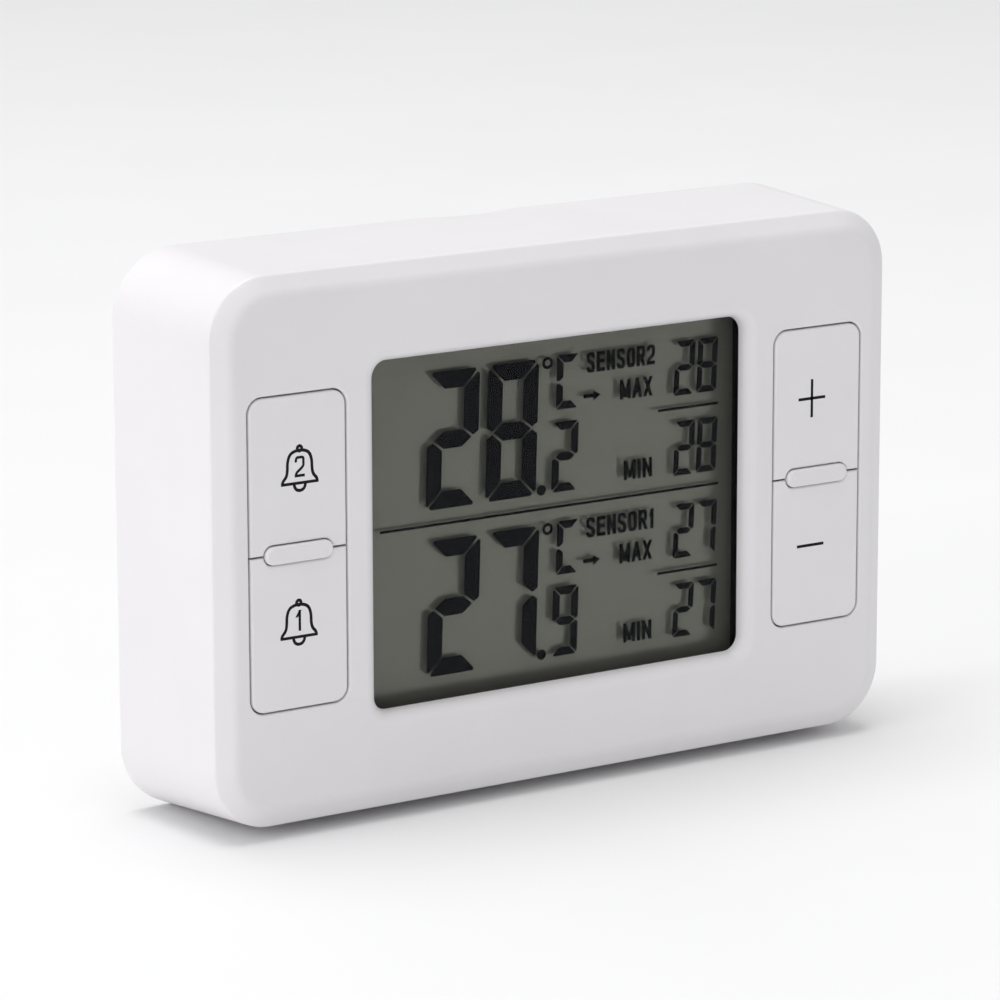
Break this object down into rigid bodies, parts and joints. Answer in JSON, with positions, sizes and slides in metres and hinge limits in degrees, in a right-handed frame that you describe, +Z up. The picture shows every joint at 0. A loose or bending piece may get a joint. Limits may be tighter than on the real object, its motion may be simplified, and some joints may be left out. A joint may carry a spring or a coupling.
{
  "type": "maximum minimum thermometer",
  "caption": "Digital maximum and minimum thermometer display unit: white case, liquid crystal window, side keys, fold-out stand and battery door.",
  "frame": {"origin": "on the ground under the middle of the unit's box", "axes": "+X to the right seen from the front, +Y from the display face to the back, +Z up"},
  "size_m": [0.092, 0.02, 0.0627],
  "materials": {
    "case_plastic": "fine satin white moulding",
    "key_plastic": "fine satin white moulding with black legends",
    "clear_window": "clear polished acrylic",
    "polariser_film": "smooth film",
    "lcd_glass": "polished",
    "reflector_film": "fine grained grey green film",
    "frame_plastic": "satin",
    "zebra_rubber": "striped silicone",
    "board_laminate": "solder mask",
    "screw_steel": "zinc plated",
    "black_epoxy": "moulded epoxy",
    "plated_metal": "nickel plated",
    "chip_ceramic": "fired",
    "capacitor_sleeve": "shrink sleeve",
    "gold_pins": "gold flash",
    "copper_wire": "enamelled copper",
    "brass_sheet": "rolled",
    "white_ceramic": "silvered ceramic",
    "cell_sleeve": "printed sleeve on a steel can",
    "magnet_plating": "nickel plated",
    "red_insulation": "soft vinyl",
    "black_insulation": "soft vinyl",
    "stem_plastic": "moulded",
    "switch_plastic": "moulded"
  },
  "bodies": {
    "housing": {"front_shell": "case_plastic", "display_window": "clear_window", "rear_cover": "case_plastic", "case_screws": "screw_steel", "battery_upper": "cell_sleeve", "battery_lower": "cell_sleeve", "magnet_left": "magnet_plating", "magnet_right": "magnet_plating", "lcd_front_polariser": "polariser_film", "lcd_front_glass": "lcd_glass", "lcd_rear_glass": "lcd_glass", "lcd_reflector": "reflector_film", "lcd_frame": "frame_plastic", "zebra_strip": "zebra_rubber", "main_board": "board_laminate", "board_screws": "screw_steel", "controller_blob": "black_epoxy", "board_crystal": "plated_metal", "board_chips": "chip_ceramic", "filter_capacitor": "capacitor_sleeve", "receiver_board": "board_laminate", "receiver_pins": "gold_pins", "receiver_chip": "black_epoxy", "receiver_crystal": "plated_metal", "aerial_coil": "copper_wire", "piezo_plate": "brass_sheet", "piezo_ceramic": "white_ceramic", "spring_upper": "plated_metal", "spring_lower": "plated_metal", "contact_link": "plated_metal", "contact_positive": "plated_metal", "contact_negative": "plated_metal", "sounder_lead_red": "red_insulation", "sounder_lead_black": "black_insulation", "switch_body_bell_two": "switch_plastic", "switch_body_bell_one": "switch_plastic", "switch_body_plus": "switch_plastic", "switch_body_minus": "switch_plastic"},
    "battery_door": {"battery_door": "case_plastic"},
    "stand": {"stand": "case_plastic"},
    "key_bell_two": {"key_bell_two": "key_plastic", "switch_stem_bell_two": "stem_plastic"},
    "key_bell_one": {"key_bell_one": "key_plastic", "switch_stem_bell_one": "stem_plastic"},
    "key_plus": {"key_plus": "key_plastic", "switch_stem_plus": "stem_plastic"},
    "key_minus": {"key_minus": "key_plastic", "switch_stem_minus": "stem_plastic"}
  },
  "joints": [
    {"name": "press_bell_two", "type": "slide", "parent": "housing", "child": "key_bell_two", "axis": [0, 1, 0], "range_m": [0, 0.0004], "stiffness_N_per_m": 500, "springref_m": -0.0008},
    {"name": "press_bell_one", "type": "slide", "parent": "housing", "child": "key_bell_one", "axis": [0, 1, 0], "range_m": [0, 0.0004], "stiffness_N_per_m": 500, "springref_m": -0.0008},
    {"name": "press_plus", "type": "slide", "parent": "housing", "child": "key_plus", "axis": [0, 1, 0], "range_m": [0, 0.0004], "stiffness_N_per_m": 500, "springref_m": -0.0008},
    {"name": "press_minus", "type": "slide", "parent": "housing", "child": "key_minus", "axis": [0, 1, 0], "range_m": [0, 0.0004], "stiffness_N_per_m": 500, "springref_m": -0.0008},
    {"name": "stand_hinge", "type": "hinge", "parent": "housing", "child": "stand", "pos_m": [0, 0.00869, 0.00509], "axis": [-1, 0, 0], "range_deg": [0, 90]},
    {"name": "battery_door_swing", "type": "hinge", "parent": "housing", "child": "battery_door", "pos_m": [0, 0.00999, 0.04773], "axis": [1, 0, 0], "range_deg": [0, 100]}
  ]
}
